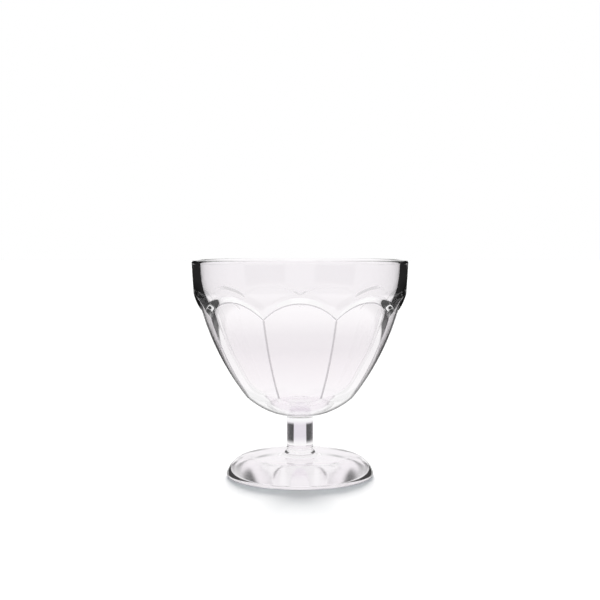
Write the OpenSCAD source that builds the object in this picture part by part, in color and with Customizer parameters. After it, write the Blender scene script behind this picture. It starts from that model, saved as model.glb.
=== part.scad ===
// Footed dessert glass: a thick pressed bowl with a plain band round the rim and
// arched panels below it, a short solid stem, and a domed round foot.
// The three pieces are fused face to face while hot. Millimetres, +Z up, and the
// origin is on the table at the middle of the foot.

/* [Rim and band] */
// Outside diameter at the rim
rim_d = 95; // [92:0.5:99]
// Wall thickness at the rim
rim_wall = 3.6; // [3:0.1:4.2]
// Radius of the two fire-polished edges of the rim
rim_edge_r = 1.2; // [0.6:0.1:1.4]
// Height of the plain band, from the rim down to the shoulder
band_h = 18; // [16:0.5:19]
// How much smaller the band's diameter is at the shoulder than at the rim
band_taper_d = 2.2; // [1.6:0.1:3]
// Radius of the shoulder that turns the band in between the arches
shoulder_r = 12; // [9:0.5:15]

/* [Bowl] */
// Height of the bowl, from its joint with the stem to the rim
bowl_h = 68.7; // [66.5:0.1:71]
// Outside radius of the round bottom
bottom_r = 35.2; // [34.6:0.1:36]
// Glass thickness at the middle of the bottom
bottom_wall = 4; // [3.2:0.1:6]
// Glass thickness behind the middle of a panel
panel_wall = 2.3; // [1.8:0.1:2.8]

/* [Panels] */
// Number of pressed panels round the bowl
panel_count = 9; // [7:1:12]
// Drop from the rim to the crown of a panel
crown_drop = 17.3; // [16:0.1:19]
// How far the crown of a panel lies behind the face of the band
crown_depth = 2.1; // [1.5:0.1:2.6]
// Lean of a panel from upright, at its crown
crown_lean = 13.8; // [12.5:0.1:15]
// Radius of the bow of a panel from its crown to its lower end
panel_bow_r = 115; // [108:1:130]
// Distance of a panel's own centre line of curvature behind the middle of the glass
panel_axis_offset = 22; // [14:1:60]
// Radius of the conical cut that forms the arch, measured on the panel's face
arch_cone_r = 33; // [28:1:40]
// Angle between the bevel round the arch and the panel's face
bevel_angle = 28; // [24:1:32]

/* [Stem] */
// Diameter of the stem
stem_d = 11.7; // [10:0.1:14]
// Length of the stem, from the foot to the bowl
stem_h = 17.7; // [12:0.1:26]
// Radius of the flare where the stem stands on the foot
stem_flare_r = 4; // [2:0.1:6]
// Radius of the small flare under the bowl
stem_collar_r = 0.8; // [0.4:0.1:1.4]

/* [Foot] */
// Diameter of the foot
foot_d = 64.8; // [60:0.2:72]
// Height of the foot, up to its flat top
foot_h = 9.1; // [8.4:0.1:10]
// Height of the widest part of the foot
foot_equator_h = 1.6; // [1.2:0.1:2]
// Radius of the rounded shoulder of the foot
foot_shoulder_r = 10.8; // [9.6:0.1:12]
// Diameter of the hollow under the foot
hollow_d = 52; // [40:0.5:54]
// Depth of the hollow under the foot
hollow_depth = 1.4; // [0.8:0.1:3]

/* [Hidden] */
$fn = 96;

// Overrun of every cut past the surface that it leaves by
overrun = 2;
// Straight steps in each drawn curve
curve_steps = 10;

rim_r = rim_d / 2;
stem_r = stem_d / 2;
foot_r = foot_d / 2;
hollow_r = hollow_d / 2;
bowl_z = foot_h + stem_h;

// Heights in the bowl are measured up from its joint with the stem
joint_r = stem_r + stem_collar_r;
bottom_centre_z = sqrt(bottom_r * bottom_r - joint_r * joint_r);
band_low_z = bowl_h - band_h;
band_low_r = rim_r - band_taper_d / 2;
band_lean = atan((rim_r - band_low_r) / band_h);
// The shoulder turns in until it reaches the seams between the panels
shoulder_turn = 38;
// The round bottom is drawn out to this angle above its lowest point, then runs on straight
bottom_sweep = 56;

crown_z = bowl_h - crown_drop;
crown_r = band_low_r - crown_depth;
bow_centre = [crown_r, crown_z] - panel_bow_r * lean_out(crown_lean);
// Lean at which the bow of the inner wall ends, low enough to pass below the floor
bow_end_lean = 44;

// Unit vectors square to a wall of the given lean, and up along it
function lean_out(lean) = [cos(lean), -sin(lean)];
function lean_up(lean) = [sin(lean), cos(lean)];

// Points of an arc round a centre, from one angle to another
function arc(centre, r, from, to) = [
    for (i = [0 : curve_steps])
        let (a = from + (to - from) * i / curve_steps)
            centre + r * [cos(a), sin(a)]
];

// Points of a smooth curve between two points, which starts towards one handle
// and arrives from the other
function curve(start, handle_a, handle_b, end) = [
    for (i = [0 : curve_steps])
        let (t = i / curve_steps, u = 1 - t)
            u * u * u * start + 3 * u * u * t * handle_a + 3 * u * t * t * handle_b + t * t * t * end
];

// Outline of the band and its shoulder, which goes straight down behind the panels
module band_section() {
    shoulder_centre = [band_low_r, band_low_z] - shoulder_r * lean_out(band_lean);
    shoulder = arc(shoulder_centre, shoulder_r, -band_lean - shoulder_turn, -band_lean);
    rim_edge = arc([rim_r - rim_edge_r, bowl_h - rim_edge_r], rim_edge_r, -band_lean, 90);
    polygon(concat([[0, 0], [shoulder[0].x, 0]], shoulder, rim_edge, [[0, bowl_h]]));
}

// Outline of the round bottom, which runs on straight past the top of the bowl. The inside
// of the glass has the same outline, inset and raised to leave the floor its thickness.
module bottom_section(inset, rise) {
    centre_z = bottom_centre_z + rise;
    joint_angle = inset > 0 ? 0 : asin(joint_r / bottom_r);
    bottom = arc([0, centre_z], bottom_r - inset, joint_angle - 90, bottom_sweep - 90);
    flank_start = bottom[curve_steps];
    flank_end = flank_start + (bowl_h + overrun) * lean_up(90 - bottom_sweep);
    middle = inset > 0 ? [] : [[0, 0]];
    polygon(concat(middle, bottom, [flank_end, [0, flank_end.y]]));
}

// Outline of the inside behind the panels and the band: parallel to the panels at first,
// then opening out to the wall of the rim
module wall_section() {
    inner_rim_r = rim_r - rim_wall;
    bow = arc(bow_centre, panel_bow_r - panel_wall, -bow_end_lean, -crown_lean);
    bow_top = bow[curve_steps];
    rim_low = [inner_rim_r, bowl_h - rim_edge_r];
    wall_h = rim_low.y - bow_top.y;
    // each handle lies about a third of the way along the wall
    handle_share = 0.36;
    top_handle = bow_top + wall_h * handle_share * lean_up(crown_lean);
    rim_handle = rim_low - wall_h * handle_share * lean_up(band_lean);
    inner_edge = arc(rim_low + [rim_edge_r, 0], rim_edge_r, 180, 90);
    top = bowl_h + overrun;
    polygon(concat(
        [[0, bow[0].y]],
        bow,
        curve(bow_top, top_handle, rim_handle, rim_low),
        inner_edge,
        [[inner_rim_r + rim_edge_r, top], [0, top]]
    ));
}

module cavity() {
    rotate_extrude()
        intersection() {
            wall_section();
            bottom_section(panel_wall, bottom_wall - panel_wall);
        }
}

// Everything behind one panel's face, turned about the panel's own axis
module panel_core() {
    translate([-panel_axis_offset, 0])
        rotate_extrude()
            intersection() {
                translate(bow_centre + [panel_axis_offset, 0])
                    circle(r = panel_bow_r, $fn = 360);
                translate([0, -overrun])
                    square([panel_bow_r, bowl_h + 2 * overrun]);
            }
}

// Open cone that leans with the panel: its side is the bevel round the arch
module arch_cone() {
    reach = bowl_h;
    apex_depth = arch_cone_r * tan(bevel_angle);
    apex = [crown_r, crown_z] - arch_cone_r * lean_up(crown_lean) - apex_depth * lean_out(crown_lean);
    translate([apex.x, 0, apex.y])
        rotate([0, 90 + crown_lean, 0])
            cylinder(h = reach, r1 = 0, r2 = reach / tan(bevel_angle));
}

module panel_cut() {
    difference() {
        arch_cone();
        panel_core();
    }
}

module blank() {
    rotate_extrude()
        intersection() {
            band_section();
            bottom_section(0, 0);
        }
}

// The blank with so many of its panels pressed in, one after another from the front
module panelled_blank(panels) {
    if (panels == 0)
        blank();
    else
        difference() {
            panelled_blank(panels - 1);
            rotate([0, 0, (panels - 1) * 360 / panel_count - 90])
                panel_cut();
        }
}

// The bowl: a panelled blank, hollowed by the plunger
module bowl() {
    color("lavender", 0.45)
        translate([0, 0, bowl_z])
            difference() {
                panelled_blank(panel_count);
                cavity();
            }
}

// Solid stem that flares at both ends, standing at its own height
module stem() {
    flare = arc([stem_r + stem_flare_r, stem_flare_r], stem_flare_r, 270, 180);
    collar = arc([stem_r + stem_collar_r, stem_h - stem_collar_r], stem_collar_r, 180, 90);
    color("lavender", 0.45)
        translate([0, 0, foot_h])
            rotate_extrude()
                polygon(concat([[0, 0]], flare, collar, [[0, stem_h]]));
}

// Thick round foot: flat on top round the stem, rounded at the edge, hollow beneath
module foot() {
    // where the rounded shoulder meets the flat top, and how far round it goes to the widest part
    shoulder_drop = foot_shoulder_r - (foot_h - foot_equator_h);
    equator_turn = asin(shoulder_drop / foot_shoulder_r);
    shoulder_centre = [foot_r - foot_shoulder_r * cos(equator_turn), foot_h - foot_shoulder_r];
    heel = arc([foot_r - foot_equator_h, foot_equator_h], foot_equator_h, -90, 0);
    shoulder = arc(shoulder_centre, foot_shoulder_r, equator_turn, 90);
    // the hollow is a shallow part of a large sphere
    hollow_ball_r = (hollow_r * hollow_r + hollow_depth * hollow_depth) / (2 * hollow_depth);
    color("lavender", 0.45)
        difference() {
            rotate_extrude()
                polygon(concat([[0, 0]], heel, shoulder, [[0, foot_h]]));
            translate([0, 0, hollow_depth - hollow_ball_r])
                sphere(r = hollow_ball_r);
        }
}

bowl();
stem();
foot();
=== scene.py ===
# Looks of the footed dessert glass: three pieces of clear pressed glass, fused face to
# face, on a white table. Metres, +Z up, the middle of the foot's underside at the origin.
import functools
import math

import bmesh
import bpy
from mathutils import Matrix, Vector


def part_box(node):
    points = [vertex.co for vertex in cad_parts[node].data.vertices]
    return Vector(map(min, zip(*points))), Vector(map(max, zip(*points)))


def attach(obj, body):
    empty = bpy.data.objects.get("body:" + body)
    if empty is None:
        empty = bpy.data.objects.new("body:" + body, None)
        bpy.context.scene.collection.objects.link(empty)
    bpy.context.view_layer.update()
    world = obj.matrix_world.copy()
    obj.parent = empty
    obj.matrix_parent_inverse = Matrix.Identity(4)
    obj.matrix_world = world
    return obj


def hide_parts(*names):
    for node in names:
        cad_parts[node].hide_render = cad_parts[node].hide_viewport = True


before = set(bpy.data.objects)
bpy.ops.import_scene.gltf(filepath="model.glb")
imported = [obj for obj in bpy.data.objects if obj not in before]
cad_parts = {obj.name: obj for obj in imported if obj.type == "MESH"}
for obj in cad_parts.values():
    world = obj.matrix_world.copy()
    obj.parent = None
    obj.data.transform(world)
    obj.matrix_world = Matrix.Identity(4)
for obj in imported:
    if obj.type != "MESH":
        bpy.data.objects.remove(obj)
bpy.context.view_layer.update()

MM = 0.001
QUARTER_TURN = math.pi / 2

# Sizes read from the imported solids
bowl_low, bowl_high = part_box("bowl")
stem_low, stem_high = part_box("stem")
foot_low, foot_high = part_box("foot")
RIM_R = bowl_high[0]
RIM_Z = bowl_high[2]
JOINT_Z = stem_high[2]
FOOT_TOP_Z = foot_high[2]
FOOT_R = foot_high[0]
FLARE_FOOT_R = stem_high[0]

# Rim and band
RIM_WALL = 3.6 * MM
RIM_EDGE_R = 1.2 * MM
BAND_H = 18 * MM
BAND_TAPER = 1.1 * MM
SHOULDER_R = 12 * MM
SHOULDER_TURN = math.radians(38)

# Round bottom and walls
BOTTOM_R = 35.2 * MM
BOTTOM_WALL = 4 * MM
BOTTOM_SWEEP = math.radians(56)
PANEL_WALL = 2.3 * MM
# How far along the upper wall each handle of its curve lies
WALL_HANDLE_SHARE = 0.36

# Panels
PANEL_COUNT = 9
PANEL_TURN = math.tau / PANEL_COUNT
CROWN_DROP = 17.3 * MM
CROWN_DEPTH = 2.1 * MM
CROWN_LEAN = math.radians(13.8)
PANEL_BOW_R = 115 * MM
PANEL_AXIS_OFFSET = 22 * MM
ARCH_CONE_R = 33 * MM
BEVEL_ANGLE = math.radians(28)
# Height over which two surfaces of the pressing melt into each other at an edge
SEAM_MELT = 0.16 * MM
ARCH_MELT = 0.34 * MM
BEVEL_FOOT_MELT = 0.3 * MM
INNER_MELT = 1.2 * MM

# Stem
STEM_R = 5.85 * MM
FLARE_R = 4 * MM
COLLAR_R = 0.8 * MM

# Foot
EQUATOR_H = 1.6 * MM
FOOT_SHOULDER_R = 10.8 * MM
HOLLOW_R = 26 * MM
HOLLOW_DEPTH = 1.4 * MM
# A face that looks down more than this belongs to the underside
FACING_DOWN = -0.5

# Heights at which the rows of the bowl's mesh change their spacing: outside, the panels end
# above the first and their arches lie between the next two; inside, the last is over the floor
PANEL_LOW_Z = 35.5 * MM
ARCH_LOW_Z = 66 * MM
ARCH_HIGH_Z = 84 * MM
FLOOR_TOP_Z = 40 * MM
# Steps along each stretch of the outlines
BOTTOM_STEPS = 22
PANEL_STEPS = 52
ARCH_STEPS = 88
BAND_STEPS = 12
RIM_EDGE_STEPS = 8
UPPER_WALL_STEPS = 18
PANEL_WALL_STEPS = 56
FLOOR_STEPS = 26
FLARE_STEPS = 24
SHAFT_STEPS = 16
COLLAR_STEPS = 10
HOLLOW_STEPS = 30
HEEL_STEPS = 12
FOOT_SHOULDER_STEPS = 40
FOOT_TOP_STEPS = 8
# Columns of each turned piece
COLUMNS_PER_PANEL = 36
STEM_COLUMNS = 160
FOOT_COLUMNS = 256
# How much closer the columns stand at the seams than in the middle of a panel
SEAM_CROWDING = 1.7
MERGE_GAP = 0.002 * MM
SHARP_ANGLE = math.radians(50)

# Glass: its tints at some heights, darker at some of them as painted shade, and how much of a lamp's
# light it lets pass
CLEAR = (1, 1, 1, 1)
GLASS_IOR = 1.51
BOWL_TINTS_WITH_SHADE = (
    (33 * MM, (0.995, 0.985, 0.995, 1)),
    (47 * MM, (0.956, 0.929, 0.947, 1)),
    (59 * MM, (0.905, 0.882, 0.900, 1)),
    (72 * MM, (0.992, 0.978, 0.988, 1)),
    (86 * MM, (0.992, 0.975, 0.990, 1)),
)
STEM_TINTS_WITH_SHADE = (
    (14.5 * MM, (0.97, 0.955, 0.965, 1)),
    (17 * MM, (0.76, 0.715, 0.78, 1)),
    (23 * MM, (0.76, 0.715, 0.78, 1)),
    (24.5 * MM, (0.985, 0.98, 0.985, 1)),
)
FOOT_TINT = (0.91, 0.865, 0.905, 1)
FOOT_LAMP_PASS = (0.30, 0.345, 0.375, 1)
UNDERSIDE_ROUGHNESS = 0.11
# Width and height of the waves in the skin
BOWL_WAVES = (16 * MM, 0.06 * MM)
STEM_WAVES = (12 * MM, 0.03 * MM)
FOOT_WAVES = (14 * MM, 0.04 * MM)

# A ray that the glass has turned back more often than this is caught in it
CAUGHT_TURNS = 3.5
# Light of such a ray in the bowl: in its front wall low down and high up, and behind
CAUGHT_IN_FRONT = (0.90, 0.0)
CAUGHT_FRONT_Z = (71 * MM, 78 * MM)
CAUGHT_BEHIND = 0.80
# A ray that has crossed the skin fewer times than this is in the front wall
FRONT_WALL_CROSSINGS = 2.5

# Painted shade: dark lines along the seams and arches of the panels, each from full to
# nothing between two distances from its edge, and stronger the more edge-on they are seen
PAINTED_LINE_PLACES = "painted_line_places"
# Place of a point on no panel, where no lines are painted: far from any seam and arch, and outside
# every bevel
NO_PAINTED_LINE = (3 * MM, 3 * MM, -3 * MM)
# colour of the painted shade lines
PAINTED_LINE_SHADE = (0.10, 0.09, 0.11, 1)
LINE_SLANT = (0, 0.7)
LINE_STRENGTH = (0.55, 0.95)
SEAM_LINE = (0.2 * MM, 0.65 * MM)
ARCH_LINE = (0.05 * MM, 0.26 * MM)
# the bevels lose their tint from their edge inwards: a painted highlight
BEVEL_EDGE = (0, 0.25 * MM)
# Painted shade along the outline of the round bottom, where it is seen edge-on: how edge-on
# it starts, how high it reaches, and how far from the axis it begins
OUTLINE_EDGE_ON = (0.72, 0.88)
OUTLINE_Z = (56 * MM, 70 * MM)
OUTLINE_R = (9 * MM, 13 * MM)
OUTLINE_STRENGTH = 0.7
OUTLINE_LIGHT = 0.03

# Camera, from the photograph's own view: how far from the axis, how high, and its tilt
CAMERA_DISTANCE = 517.5 * MM
CAMERA_Z = 103 * MM
CAMERA_TILT = math.radians(2.80)
CAMERA_LENS = 70.68
CAMERA_SENSOR = 36
CAMERA_CLIP_START = 10 * MM

# Studio: a white table and a white world, lit from behind
WHITE = (1, 1, 1, 1)
TABLE_SIZE = 12
TABLE_WHITE = 0.90
TABLE_GLOW = 0.06
SKY_LIGHT = 0.40
LAMP_STRENGTH = 8.0
LAMP_HEIGHT = math.radians(18)
LAMP_SPREAD = math.radians(24)
# Dark flags that only the glass shows, between white screens in front, behind and at both
# sides: the turn from a screen's middle at which a flag starts, and its top edge
FLAG_DARKNESS = 0.98
FLAG_TURN = (math.radians(17), math.radians(20))
FLAG_TOP = (math.sin(math.radians(12)), math.sin(math.radians(18)))
# A ray that has crossed the skin more often than this sees white for a flag
FLAG_CROSSINGS = 3.5
# A ray that the glass has turned back fewer times than this runs straight through
STRAIGHT_TURNS = 0.5
# The near flags lie on the table in a ring, and beyond a far ring it is dark all round
NEAR_FLAG_START = (80 * MM, 98 * MM)
NEAR_FLAG_END = (146 * MM, 158 * MM)
FAR_DARK_START = (185 * MM, 210 * MM)
# Length of a ray from the stem to a near flag, over the flag's distance from the axis
LOW_RAY_SHORTEST = (0.90, 0.93)
LOW_RAY_LONGEST = (1.01, 1.04)
# The foot's own shade on the table under its rim: weak in front and behind, strong at the sides
RIM_SHADE_START = (21 * MM, 25 * MM)
RIM_SHADE_END = (32 * MM, 35 * MM)
RIM_SHADE_SIDE = (0.4, 0.8)
RIM_SHADE = (0.1, 0.95)


def arc(centre, radius, start, stop, steps):
    """Points of an arc in the plane of an outline, as (distance from the axis, height)."""
    turns = [start + (stop - start) * i / steps for i in range(steps + 1)]
    return [(centre[0] + radius * math.cos(a), centre[1] + radius * math.sin(a)) for a in turns]


def curve(start, handle_a, handle_b, end, steps):
    """Points of a smooth curve that leaves towards one handle and arrives from the other."""
    points = []
    for i in range(steps + 1):
        t = i / steps
        u = 1 - t
        weights = (u * u * u, 3 * u * u * t, 3 * u * t * t, t * t * t)
        corners = (start, handle_a, handle_b, end)
        points.append(tuple(sum(w * p[k] for w, p in zip(weights, corners)) for k in (0, 1)))
    return points


def stepped(start, stop, steps):
    """The values at the ends of equal steps, without the first."""
    return [start + (stop - start) * i / steps for i in range(1, steps + 1)]


def lower_of(a, b, melt):
    """The lower of two values, rounded off where they are closer than the melt."""
    share = min(1, max(0, 0.5 + 0.5 * (b - a) / melt))
    return b + (a - b) * share - melt * share * (1 - share)


def upper_of(a, b, melt):
    """The higher of two values, rounded off in the same way."""
    return -lower_of(-a, -b, melt)


# The bowl's outline, worked out once from the sizes above
JOINT_R = STEM_R + COLLAR_R
BOTTOM_CENTRE_Z = JOINT_Z + math.sqrt(BOTTOM_R ** 2 - JOINT_R ** 2)
BAND_LOW_Z = RIM_Z - BAND_H
BAND_LOW_R = RIM_R - BAND_TAPER
BAND_LEAN = math.atan(BAND_TAPER / BAND_H)
SHOULDER_CENTRE = (
    BAND_LOW_R - SHOULDER_R * math.cos(BAND_LEAN),
    BAND_LOW_Z + SHOULDER_R * math.sin(BAND_LEAN),
)
CROWN_R = BAND_LOW_R - CROWN_DEPTH
CROWN_Z = RIM_Z - CROWN_DROP
BOW_CENTRE = (
    CROWN_R - PANEL_BOW_R * math.cos(CROWN_LEAN),
    CROWN_Z + PANEL_BOW_R * math.sin(CROWN_LEAN),
)


def round_r(centre_z, radius, z):
    """Radius of the round bottom at a height; past its sweep it runs on straight."""
    straight_z = centre_z - radius * math.cos(BOTTOM_SWEEP)
    if z <= straight_z:
        return math.sqrt(max(0, radius ** 2 - (centre_z - z) ** 2))
    return radius * math.sin(BOTTOM_SWEEP) + (z - straight_z) / math.tan(BOTTOM_SWEEP)


def band_r(z):
    """Radius of the plain band and its shoulder at a height."""
    if z >= BAND_LOW_Z:
        return RIM_R - (RIM_Z - z) * math.tan(BAND_LEAN)
    drop = SHOULDER_CENTRE[1] - z
    end_drop = SHOULDER_R * math.sin(BAND_LEAN + SHOULDER_TURN)
    return SHOULDER_CENTRE[0] + math.sqrt(SHOULDER_R ** 2 - min(drop, end_drop) ** 2)


def blank_r(z):
    """Radius of the unpressed blank at a height."""
    return min(band_r(z), round_r(BOTTOM_CENTRE_Z, BOTTOM_R, z))


def bow_r(z, inset=0):
    """Radius of the middle of a panel at a height, or of the wall behind it."""
    return BOW_CENTRE[0] + math.sqrt((PANEL_BOW_R - inset) ** 2 - (BOW_CENTRE[1] - z) ** 2)


def bevel_r(turn, z):
    """Radius at which the cone round an arch starts, along one direction from the axis."""
    depth = ARCH_CONE_R * math.tan(BEVEL_ANGLE)
    lean_cos = math.cos(CROWN_LEAN)
    lean_sin = math.sin(CROWN_LEAN)
    apex_r = CROWN_R - ARCH_CONE_R * lean_sin - depth * lean_cos
    apex_z = CROWN_Z - ARCH_CONE_R * lean_cos + depth * lean_sin
    side = math.sin(BEVEL_ANGLE) ** 2
    ahead = math.cos(turn)
    rise = z - apex_z
    along = apex_r * lean_cos + rise * lean_sin
    square = side - (ahead * lean_cos) ** 2
    linear = 2 * ahead * (lean_cos * along - side * apex_r)
    rest = side * (apex_r ** 2 + rise ** 2) - along ** 2
    root = linear ** 2 - 4 * square * rest
    return (-linear - math.sqrt(root)) / (2 * square)


def face_r(turn, z):
    """Radius of one panel's face, seen at a turn from its middle."""
    own_r = bow_r(z) + PANEL_AXIS_OFFSET
    aside = PANEL_AXIS_OFFSET * math.sin(turn)
    return math.sqrt(own_r ** 2 - aside ** 2) - PANEL_AXIS_OFFSET * math.cos(turn)


def panel_r(turn, z):
    """Radius of one pressed panel and the bevel over its arch, seen at a turn from its middle."""
    return upper_of(face_r(turn, z), bevel_r(turn, z), BEVEL_FOOT_MELT)


@functools.lru_cache(maxsize=None)
def pressed_r(ahead, z):
    """Radius of the pressed glass, so far round from the middle of the nearest panel."""
    seam = lower_of(panel_r(ahead, z), panel_r(PANEL_TURN - ahead, z), SEAM_MELT)
    return lower_of(blank_r(z), seam, ARCH_MELT)


@functools.lru_cache(maxsize=None)
def place_for_painted_lines(ahead, z):
    """How far a place is from the seam, from the foot of the bevel, and how deep in the bevel."""
    bevel = bevel_r(ahead, z)
    face = face_r(ahead, z)
    blank = blank_r(z)
    if min(bevel, face) > blank:
        return NO_PAINTED_LINE
    in_bevel = min(bevel - face, blank - bevel)
    half_turn = PANEL_TURN / 2
    from_seam = face * math.sin(half_turn - ahead)
    if bevel_r(half_turn, z) > face_r(half_turn, z):
        from_seam = NO_PAINTED_LINE[0]
    return (from_seam, bevel - face, in_bevel)


def bowl_outline():
    """Up the blank's outside from the joint, over the rim and down the inside to the floor."""
    joint_angle = math.asin(JOINT_R / BOTTOM_R) - QUARTER_TURN
    panel_low_angle = math.acos((BOTTOM_CENTRE_Z - PANEL_LOW_Z) / BOTTOM_R) - QUARTER_TURN
    outside = [(0, JOINT_Z)]
    outside += arc((0, BOTTOM_CENTRE_Z), BOTTOM_R, joint_angle, panel_low_angle, BOTTOM_STEPS)
    rows = stepped(PANEL_LOW_Z, ARCH_LOW_Z, PANEL_STEPS)
    rows += stepped(ARCH_LOW_Z, ARCH_HIGH_Z, ARCH_STEPS)
    rows += stepped(ARCH_HIGH_Z, RIM_Z - RIM_EDGE_R * (1 + math.sin(BAND_LEAN)), BAND_STEPS)
    outside += [(blank_r(z), z) for z in rows]

    edge_z = RIM_Z - RIM_EDGE_R
    inner_rim_r = RIM_R - RIM_WALL
    rim = arc((RIM_R - RIM_EDGE_R, edge_z), RIM_EDGE_R, -BAND_LEAN, QUARTER_TURN, RIM_EDGE_STEPS)[1:]
    rim += arc((inner_rim_r + RIM_EDGE_R, edge_z), RIM_EDGE_R, QUARTER_TURN, math.pi, RIM_EDGE_STEPS)

    wall_r = PANEL_BOW_R - PANEL_WALL
    bow_top = (
        BOW_CENTRE[0] + wall_r * math.cos(CROWN_LEAN),
        BOW_CENTRE[1] - wall_r * math.sin(CROWN_LEAN),
    )
    rim_low = rim[-1]
    handle = (rim_low[1] - bow_top[1]) * WALL_HANDLE_SHARE
    top_handle = (
        bow_top[0] + handle * math.sin(CROWN_LEAN),
        bow_top[1] + handle * math.cos(CROWN_LEAN),
    )
    rim_handle = (
        rim_low[0] - handle * math.sin(BAND_LEAN),
        rim_low[1] - handle * math.cos(BAND_LEAN),
    )
    inside = curve(rim_low, rim_handle, top_handle, bow_top, UPPER_WALL_STEPS)[1:]
    floor_r = BOTTOM_R - PANEL_WALL
    floor_centre_z = BOTTOM_CENTRE_Z + BOTTOM_WALL - PANEL_WALL
    for z in stepped(bow_top[1], FLOOR_TOP_Z, PANEL_WALL_STEPS):
        radius = lower_of(bow_r(z, PANEL_WALL), round_r(floor_centre_z, floor_r, z), INNER_MELT)
        inside.append((radius, z))
    floor_angle = math.acos((floor_centre_z - FLOOR_TOP_Z) / floor_r) - QUARTER_TURN
    inside += arc((0, floor_centre_z), floor_r, floor_angle, -QUARTER_TURN, FLOOR_STEPS)[1:]
    return outside + rim + inside


def stem_outline():
    """From the foot up the flare and the shaft to the collar under the bowl."""
    flare_centre = (STEM_R + FLARE_R, FOOT_TOP_Z + FLARE_R)
    collar_centre = (STEM_R + COLLAR_R, JOINT_Z - COLLAR_R)
    flare = arc(flare_centre, FLARE_R, -QUARTER_TURN, -math.pi, FLARE_STEPS)
    shaft = [(STEM_R, z) for z in stepped(flare_centre[1], collar_centre[1], SHAFT_STEPS)]
    collar = arc(collar_centre, COLLAR_R, math.pi, QUARTER_TURN, COLLAR_STEPS)[1:]
    return [(0, FOOT_TOP_Z)] + flare + shaft + collar + [(0, JOINT_Z)]


def foot_outline():
    """From the middle of the hollow out to the heel, over the shoulder and back along the top."""
    ball_r = (HOLLOW_R ** 2 + HOLLOW_DEPTH ** 2) / (2 * HOLLOW_DEPTH)
    hollow_end = QUARTER_TURN - math.asin(HOLLOW_R / ball_r)
    hollow = arc((0, HOLLOW_DEPTH - ball_r), ball_r, QUARTER_TURN, hollow_end, HOLLOW_STEPS)
    heel = arc((FOOT_R - EQUATOR_H, EQUATOR_H), EQUATOR_H, -QUARTER_TURN, 0, HEEL_STEPS)
    equator_turn = math.asin((FOOT_SHOULDER_R - (FOOT_TOP_Z - EQUATOR_H)) / FOOT_SHOULDER_R)
    centre = (FOOT_R - FOOT_SHOULDER_R * math.cos(equator_turn), FOOT_TOP_Z - FOOT_SHOULDER_R)
    shoulder = arc(centre, FOOT_SHOULDER_R, equator_turn, QUARTER_TURN, FOOT_SHOULDER_STEPS)[1:]
    top = [(r, FOOT_TOP_Z) for r in stepped(centre[0], FLARE_FOOT_R, FOOT_TOP_STEPS)]
    return hollow + heel + shoulder + top + [(0, FOOT_TOP_Z)]


def open_at_the_axis(piece):
    """Cut the one edge of an outline that runs along the axis, between its two ends."""
    bpy.ops.mesh.select_all(action="DESELECT")
    mesh = bmesh.from_edit_mesh(piece.data)
    mesh.verts.ensure_lookup_table()
    ends = {mesh.verts[0], mesh.verts[-1]}
    for edge in mesh.edges:
        edge.select_set(set(edge.verts) == ends)
    bmesh.update_edit_mesh(piece.data)
    bpy.ops.mesh.delete(type="EDGE_FACE")


def turned(name, outline, columns):
    """A closed piece spun round the axis from an outline of (radius, height) points."""
    bpy.ops.object.select_all(action="DESELECT")
    bpy.ops.mesh.primitive_circle_add(vertices=len(outline), radius=RIM_R)
    piece = bpy.context.active_object
    piece.name = name
    for vertex, (radius, z) in zip(piece.data.vertices, outline):
        vertex.co = (radius, 0, z)
    bpy.ops.object.mode_set(mode="EDIT")
    open_at_the_axis(piece)
    bpy.ops.mesh.select_all(action="SELECT")
    bpy.ops.mesh.spin(steps=columns, angle=math.tau, center=(0, 0, 0), axis=(0, 0, 1))
    bpy.ops.mesh.select_all(action="SELECT")
    bpy.ops.mesh.remove_doubles(threshold=MERGE_GAP)
    bpy.ops.mesh.normals_make_consistent(inside=False)
    bpy.ops.object.mode_set(mode="OBJECT")
    return piece


def press_panels(piece):
    """Draw the outside of the blank in to the panels, with the columns closer at the seams."""
    least_gap = 1 * MM
    half_turn = PANEL_TURN / 2
    line_places = []
    for vertex in piece.data.vertices:
        x, y, z = vertex.co
        radius = math.hypot(x, y)
        turn = math.atan2(x, -y)
        middle = PANEL_TURN * round(turn / PANEL_TURN)
        share = min(1, abs(turn - middle) / half_turn)
        ahead = round(half_turn * (1 - (1 - share) ** SEAM_CROWDING), 6)
        line_place = NO_PAINTED_LINE
        if PANEL_LOW_Z < z < RIM_Z - RIM_EDGE_R and radius > blank_r(z) - least_gap:
            radius = pressed_r(ahead, round(z, 7))
            line_place = place_for_painted_lines(ahead, round(z, 7))
        line_places.extend(line_place)
        turn = middle + math.copysign(ahead, turn - middle)
        vertex.co = (radius * math.sin(turn), -radius * math.cos(turn), z)
    # where each point lies to the painted shade lines and the painted highlight on the bevels
    attribute = piece.data.attributes.new(PAINTED_LINE_PLACES, "FLOAT_VECTOR", "POINT")
    attribute.data.foreach_set("vector", line_places)


def feed(tree, value, socket):
    """Set a socket to a number or a colour, or link another socket to it."""
    if isinstance(value, bpy.types.NodeSocket):
        tree.links.new(value, socket)
    else:
        socket.default_value = value


def maths(tree, operation, *values):
    """A Math node in a tree, fed by sockets or numbers; gives its output socket."""
    node = tree.nodes.new("ShaderNodeMath")
    node.operation = operation
    for value, socket in zip(values, node.inputs):
        feed(tree, value, socket)
    return node.outputs[0]


def product(tree, first, *others):
    """The product of some sockets or numbers."""
    for other in others:
        first = maths(tree, "MULTIPLY", first, other)
    return first


def ramp(tree, value, low, high, low_value, high_value):
    """A soft step from one value to another while the input goes from low to high."""
    node = tree.nodes.new("ShaderNodeMapRange")
    node.interpolation_type = "SMOOTHSTEP"
    node.inputs["From Min"].default_value = low
    node.inputs["From Max"].default_value = high
    node.inputs["To Min"].default_value = low_value
    node.inputs["To Max"].default_value = high_value
    tree.links.new(value, node.inputs["Value"])
    return node.outputs["Result"]


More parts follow.
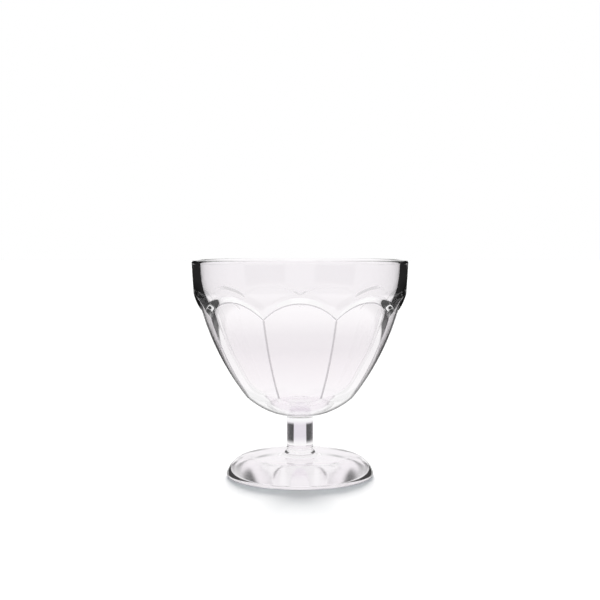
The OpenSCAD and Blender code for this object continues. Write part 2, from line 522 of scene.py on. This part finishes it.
def band(tree, value, start, end):
    """1 between a soft start and a soft end, and 0 outside."""
    return product(tree, ramp(tree, value, *start, 0, 1), ramp(tree, value, *end, 1, 0))


def object_place(tree):
    """A point's own place on its object."""
    return tree.nodes.new("ShaderNodeTexCoord").outputs["Object"]


def axes(tree, vector):
    """The X, Y and Z of a vector, as sockets."""
    split = tree.nodes.new("ShaderNodeSeparateXYZ")
    tree.links.new(vector, split.inputs[0])
    return split.outputs


def from_axis(tree, place):
    """Distance of a place from the axis of the glass."""
    flat = tree.nodes.new("ShaderNodeVectorMath")
    flat.operation = "MULTIPLY"
    flat.inputs[1].default_value = (1, 1, 0)
    tree.links.new(place, flat.inputs[0])
    distance = tree.nodes.new("ShaderNodeVectorMath")
    distance.operation = "LENGTH"
    tree.links.new(flat.outputs[0], distance.inputs[0])
    return distance.outputs["Value"]


def light_path(tree):
    """What is known of the ray that meets a surface, as sockets."""
    return tree.nodes.new("ShaderNodeLightPath").outputs


def edge_on(tree):
    """How far a surface is turned away from the eye, from 0 to 1."""
    return tree.nodes.new("ShaderNodeLayerWeight").outputs["Facing"]


def mixed_colour(tree, share, first, second):
    """A colour that goes from a socket's to a plain one."""
    node = tree.nodes.new("ShaderNodeMix")
    node.data_type = "RGBA"
    node.inputs["B"].default_value = second
    tree.links.new(share, node.inputs["Factor"])
    tree.links.new(first, node.inputs["A"])
    return node.outputs["Result"]


def mixed_shader(tree, share, first, second):
    """A Mix Shader node between two shaders' sockets."""
    node = tree.nodes.new("ShaderNodeMixShader")
    for socket, source in zip(node.inputs, (share, first, second)):
        tree.links.new(source, socket)
    return node


def light(tree, strength):
    """White light of a strength, from a socket or a number; gives the node."""
    node = tree.nodes.new("ShaderNodeEmission")
    feed(tree, strength, node.inputs["Strength"])
    return node


def new_material(name):
    """A material with an empty tree, and the Surface socket that its shader goes to."""
    material = bpy.data.materials.new(name)
    material.use_nodes = True
    nodes = material.node_tree.nodes
    nodes.clear()
    return material, nodes.new("ShaderNodeOutputMaterial").inputs["Surface"]


def fire_polish_group():
    """Slow waves left in the skin of pressed glass, as a normal."""
    group = bpy.data.node_groups.new("fire polish", "ShaderNodeTree")
    group.interface.new_socket("Wave size", in_out="INPUT", socket_type="NodeSocketFloat")
    group.interface.new_socket("Wave height", in_out="INPUT", socket_type="NodeSocketFloat")
    group.interface.new_socket("Normal", in_out="OUTPUT", socket_type="NodeSocketVector")
    nodes, links = group.nodes, group.links
    inlet = nodes.new("NodeGroupInput")
    outlet = nodes.new("NodeGroupOutput")
    waves = nodes.new("ShaderNodeTexNoise")
    waves.inputs["Detail"].default_value = 1
    bump = nodes.new("ShaderNodeBump")
    links.new(object_place(group), waves.inputs["Vector"])
    links.new(maths(group, "DIVIDE", 1, inlet.outputs["Wave size"]), waves.inputs["Scale"])
    links.new(waves.outputs["Fac"], bump.inputs["Height"])
    links.new(inlet.outputs["Wave height"], bump.inputs["Distance"])
    links.new(bump.outputs["Normal"], outlet.inputs["Normal"])
    return group


def glass(name, waves, lamp_pass=CLEAR, tint=CLEAR, roughness=0):
    """Clear pressed glass with the slow waves of a fire-polished skin."""
    material, surface = new_material(name)
    tree = material.node_tree
    wave_size, wave_height = waves
    skin = tree.nodes.new("ShaderNodeGroup")
    skin.node_tree = fire_polish
    skin.inputs["Wave size"].default_value = wave_size
    skin.inputs["Wave height"].default_value = wave_height
    body = tree.nodes.new("ShaderNodeBsdfPrincipled")
    body.inputs["Base Color"].default_value = tint
    body.inputs["Roughness"].default_value = roughness
    body.inputs["IOR"].default_value = GLASS_IOR
    body.inputs["Transmission Weight"].default_value = 1
    tree.links.new(skin.outputs["Normal"], body.inputs["Normal"])
    # a ray that is caught in the glass ends in a light, as if it had found its way out
    path = light_path(tree)
    caught = maths(tree, "GREATER_THAN", path["Glossy Depth"], CAUGHT_TURNS)
    way_out = light(tree, 1)
    way_out.name = "Way out"
    seen = mixed_shader(tree, caught, body.outputs[0], way_out.outputs[0])
    seen.name = "Seen"
    # a lamp's light runs straight through
    clear = tree.nodes.new("ShaderNodeBsdfTransparent")
    clear.inputs["Color"].default_value = lamp_pass
    whole = mixed_shader(tree, path["Is Shadow Ray"], seen.outputs[0], clear.outputs[0])
    tree.links.new(whole.outputs[0], surface)
    return material


def tint_and_shade_by_height(material, tints_with_shade):
    """Tint a glass from its colours at some heights; where they are darker, that is painted shade."""
    tree = material.node_tree
    low = tints_with_shade[0][0]
    high = tints_with_shade[-1][0]
    colours = tree.nodes.new("ShaderNodeValToRGB")
    stops = colours.color_ramp.elements
    while len(stops) < len(tints_with_shade):
        stops.new(0.5)
    for stop, (height, colour) in zip(stops, tints_with_shade):
        stop.position = (height - low) / (high - low)
        stop.color = colour
    above_low = maths(tree, "SUBTRACT", axes(tree, object_place(tree))["Z"], low)
    tree.links.new(maths(tree, "DIVIDE", above_low, high - low), colours.inputs["Fac"])
    tree.links.new(colours.outputs["Color"], tree.nodes["Principled BSDF"].inputs["Base Color"])


def dim_caught_rays(material):
    """Dim the rays caught in the bowl: in its front wall by their height, and behind evenly."""
    tree = material.node_tree
    height = axes(tree, object_place(tree))["Z"]
    crossings = light_path(tree)["Transmission Depth"]
    in_front = maths(tree, "LESS_THAN", crossings, FRONT_WALL_CROSSINGS)
    front_light = product(tree, in_front, ramp(tree, height, *CAUGHT_FRONT_Z, *CAUGHT_IN_FRONT))
    back_light = product(tree, maths(tree, "SUBTRACT", 1, in_front), CAUGHT_BEHIND)
    way_out = tree.nodes["Way out"]
    tree.links.new(maths(tree, "ADD", back_light, front_light), way_out.inputs["Strength"])


def paint_line_shade_and_bevel_highlight(material):
    """Paint shade as dark lines where the panels meet each other and their arches, and a highlight on
    the bevels by clearing their tint.
    """
    tree = material.node_tree
    line_places = tree.nodes.new("ShaderNodeAttribute")
    line_places.attribute_name = PAINTED_LINE_PLACES
    from_seam, from_bevel_foot, in_bevel = axes(tree, line_places.outputs["Vector"])
    to_camera = light_path(tree)["Is Camera Ray"]
    seam = ramp(tree, from_seam, *SEAM_LINE, 1, 0)
    arch = ramp(tree, maths(tree, "ABSOLUTE", from_bevel_foot), *ARCH_LINE, 1, 0)
    strength = ramp(tree, edge_on(tree), *LINE_SLANT, *LINE_STRENGTH)
    line = product(tree, maths(tree, "MAXIMUM", seam, arch), strength, to_camera)
    # painted highlight: the bevels cleared of their tint, for the camera only
    bevel = product(tree, ramp(tree, in_bevel, *BEVEL_EDGE, 0, 1), to_camera)
    base_colour = tree.nodes["Principled BSDF"].inputs["Base Color"]
    bevel_highlighted = mixed_colour(tree, bevel, base_colour.links[0].from_socket, CLEAR)
    tree.links.new(mixed_colour(tree, line, bevel_highlighted, PAINTED_LINE_SHADE), base_colour)


def paint_outline_shade(material):
    """Paint shade on the outline of the round bottom, where the glass is seen edge-on."""
    tree = material.node_tree
    place = object_place(tree)
    outline = product(
        tree,
        ramp(tree, edge_on(tree), *OUTLINE_EDGE_ON, 0, 1),
        ramp(tree, axes(tree, place)["Z"], *OUTLINE_Z, OUTLINE_STRENGTH, 0),
        ramp(tree, from_axis(tree, place), *OUTLINE_R, 0, 1),
        light_path(tree)["Is Camera Ray"],
    )
    # the painted shade takes the place of the glass, as no light comes through there
    body = tree.nodes["Principled BSDF"]
    edged = mixed_shader(tree, outline, body.outputs[0], light(tree, OUTLINE_LIGHT).outputs[0])
    tree.links.new(edged.outputs[0], tree.nodes["Seen"].inputs[1])


def fused_joint():
    """The flat faces where two pieces are fused: nothing of them can be seen."""
    material, surface = new_material("fused joint")
    tree = material.node_tree
    tree.links.new(tree.nodes.new("ShaderNodeBsdfTransparent").outputs[0], surface)
    return material


def dress(piece, node, material, joints):
    """Give a piece its glass, and the faces that lie in a joint their clear material."""
    piece.data.materials.append(material)
    piece.data.materials.append(joint_material)
    flat = 0.01 * MM
    for face in piece.data.polygons:
        x, y, height = face.center
        for z, radius in joints:
            if abs(height - z) < flat and math.hypot(x, y) < radius:
                face.material_index = 1
    bpy.ops.object.select_all(action="DESELECT")
    piece.select_set(True)
    bpy.context.view_layer.objects.active = piece
    bpy.ops.object.mode_set(mode="EDIT")
    bpy.ops.mesh.select_all(action="DESELECT")
    piece.active_material_index = 1
    bpy.ops.object.material_slot_select()
    bpy.ops.mesh.region_to_loop()
    bpy.ops.mesh.mark_sharp()
    bpy.ops.object.mode_set(mode="OBJECT")
    bpy.ops.object.shade_smooth_by_angle(angle=SHARP_ANGLE)
    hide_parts(node)
    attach(piece, "root")


def dress_underside(piece, material):
    """Give the hollow under the foot its own, rougher glass."""
    piece.data.materials.append(material)
    for face in piece.data.polygons:
        if face.normal.z < FACING_DOWN and face.center.z < HOLLOW_DEPTH + MM:
            face.material_index = 2


def flags(tree, direction):
    """Where the dark flags stand: between the four directions that the screens stand in."""
    sides = axes(tree, direction)
    side_x = maths(tree, "ABSOLUTE", sides["X"])
    side_y = maths(tree, "ABSOLUTE", sides["Y"])
    nearer = maths(tree, "MINIMUM", side_x, side_y)
    farther = maths(tree, "MAXIMUM", side_x, side_y)
    return ramp(tree, maths(tree, "ARCTAN2", nearer, farther), *FLAG_TURN, 0, 1)


def white_less(tree, dark, path):
    """White, less a darkness that only rays which passed no more than one wall of glass meet."""
    one_wall = maths(tree, "LESS_THAN", path["Transmission Depth"], FLAG_CROSSINGS)
    return maths(tree, "SUBTRACT", 1, product(tree, dark, one_wall, FLAG_DARKNESS))


def seen_in_glass(tree, path):
    """1 for a ray that comes out of the glass or off its skin, else 0."""
    return maths(tree, "MAXIMUM", path["Is Glossy Ray"], path["Is Transmission Ray"])


def table_dark(tree, path):
    """What the glass sees dark on the table: near flags, far darkness and the foot's shade."""
    place = object_place(tree)
    radius = from_axis(tree, place)
    # rays that run straight through see the near flags, and those turned back the far darkness
    straight = maths(tree, "LESS_THAN", path["Glossy Depth"], STRAIGHT_TURNS)
    turned_back = maths(tree, "SUBTRACT", 1, straight)
    # the near flags stand low, so they show in what lies close to the axis and the table: the stem
    reach = maths(tree, "DIVIDE", path["Ray Length"], radius)
    low_ray = band(tree, reach, LOW_RAY_SHORTEST, LOW_RAY_LONGEST)
    ring = band(tree, radius, NEAR_FLAG_START, NEAR_FLAG_END)
    near = product(tree, ring, flags(tree, place), straight, low_ray)
    far = product(tree, ramp(tree, radius, *FAR_DARK_START, 0, 1), turned_back)
    side_x = maths(tree, "ABSOLUTE", axes(tree, place)["X"])
    sideways = maths(tree, "DIVIDE", side_x, radius)
    shade = ramp(tree, sideways, *RIM_SHADE_SIDE, *RIM_SHADE)
    rim = product(tree, band(tree, radius, RIM_SHADE_START, RIM_SHADE_END), shade)
    return maths(tree, "ADD", maths(tree, "ADD", near, rim), far)


def table_top():
    """White table: it takes the glass's shadow, and is plain white wherever it is bare."""
    bpy.ops.object.select_all(action="DESELECT")
    bpy.ops.mesh.primitive_plane_add(size=TABLE_SIZE)
    table = bpy.context.active_object
    table.name = "table_top"
    material, surface = new_material("table white")
    tree = material.node_tree
    path = light_path(tree)
    matt = tree.nodes.new("ShaderNodeBsdfDiffuse")
    matt.inputs["Color"].default_value = (TABLE_WHITE, TABLE_WHITE, TABLE_WHITE, 1)
    glow = light(tree, product(tree, path["Is Camera Ray"], TABLE_GLOW))
    bare = tree.nodes.new("ShaderNodeAddShader")
    tree.links.new(matt.outputs[0], bare.inputs[0])
    tree.links.new(glow.outputs[0], bare.inputs[1])
    through_glass = light(tree, white_less(tree, table_dark(tree, path), path))
    in_glass = seen_in_glass(tree, path)
    whole = mixed_shader(tree, in_glass, bare.outputs[0], through_glass.outputs[0])
    tree.links.new(whole.outputs[0], surface)
    table.data.materials.append(material)


def studio():
    """White all round to the eye, with dark flags between the white screens in the glass."""
    world = bpy.data.worlds.new("studio")
    bpy.context.scene.world = world
    world.use_nodes = True
    tree = world.node_tree
    tree.nodes.clear()
    output = tree.nodes.new("ShaderNodeOutputWorld")
    sky = tree.nodes.new("ShaderNodeBackground")
    sky.inputs["Color"].default_value = WHITE
    path = light_path(tree)
    direction = tree.nodes.new("ShaderNodeTexCoord").outputs["Generated"]
    below_top = ramp(tree, axes(tree, direction)["Z"], *FLAG_TOP, 1, 0)
    screens = white_less(tree, product(tree, flags(tree, direction), below_top), path)
    in_glass = product(tree, screens, seen_in_glass(tree, path))
    shown = maths(tree, "ADD", in_glass, path["Is Camera Ray"])
    lit = product(tree, path["Is Diffuse Ray"], SKY_LIGHT)
    tree.links.new(maths(tree, "ADD", shown, lit), sky.inputs["Strength"])
    tree.links.new(sky.outputs[0], output.inputs["Surface"])


def back_lamp():
    """Broad lamp behind the glass, which lays its shadow towards the front."""
    bpy.ops.object.light_add(type="SUN", rotation=(LAMP_HEIGHT - QUARTER_TURN, 0, 0))
    lamp = bpy.context.active_object
    lamp.name = "back_lamp"
    lamp.data.energy = LAMP_STRENGTH
    lamp.data.angle = LAMP_SPREAD
    lamp.visible_glossy = False
    lamp.visible_transmission = False


def camera():
    """The photograph's own view, a little above the rim."""
    place = (0, -CAMERA_DISTANCE, CAMERA_Z)
    bpy.ops.object.camera_add(location=place, rotation=(QUARTER_TURN - CAMERA_TILT, 0, 0))
    view = bpy.context.active_object
    view.data.lens = CAMERA_LENS
    view.data.sensor_width = CAMERA_SENSOR
    view.data.clip_start = CAMERA_CLIP_START
    bpy.context.scene.camera = view


fire_polish = fire_polish_group()
joint_material = fused_joint()

bowl_glass = glass("bowl glass", BOWL_WAVES)
# lavender tint of the glass, with painted shade where it is darker
tint_and_shade_by_height(bowl_glass, BOWL_TINTS_WITH_SHADE)
dim_caught_rays(bowl_glass)
# painted shade along the seams and arches, and a painted highlight on the bevels
paint_line_shade_and_bevel_highlight(bowl_glass)
# painted shade along the outline of the round bottom
paint_outline_shade(bowl_glass)
bowl = turned("pressed_bowl", bowl_outline(), PANEL_COUNT * COLUMNS_PER_PANEL)
press_panels(bowl)
dress(bowl, "bowl", bowl_glass, [(JOINT_Z, JOINT_R)])

stem_glass = glass("stem glass", STEM_WAVES, FOOT_LAMP_PASS)
# lavender tint of the glass, with painted shade darkening the middle of the stem
tint_and_shade_by_height(stem_glass, STEM_TINTS_WITH_SHADE)
stem = turned("solid_stem", stem_outline(), STEM_COLUMNS)
dress(stem, "stem", stem_glass, [(JOINT_Z, JOINT_R), (FOOT_TOP_Z, FLARE_FOOT_R)])

foot_glass = glass("foot glass", FOOT_WAVES, FOOT_LAMP_PASS, FOOT_TINT)
underside_glass = glass("underside glass", FOOT_WAVES, FOOT_LAMP_PASS, FOOT_TINT, UNDERSIDE_ROUGHNESS)
foot = turned("domed_foot", foot_outline(), FOOT_COLUMNS)
dress(foot, "foot", foot_glass, [(FOOT_TOP_Z, FLARE_FOOT_R)])
dress_underside(foot, underside_glass)

table_top()
studio()
back_lamp()
camera()
bpy.context.scene.view_settings.view_transform = "Standard"
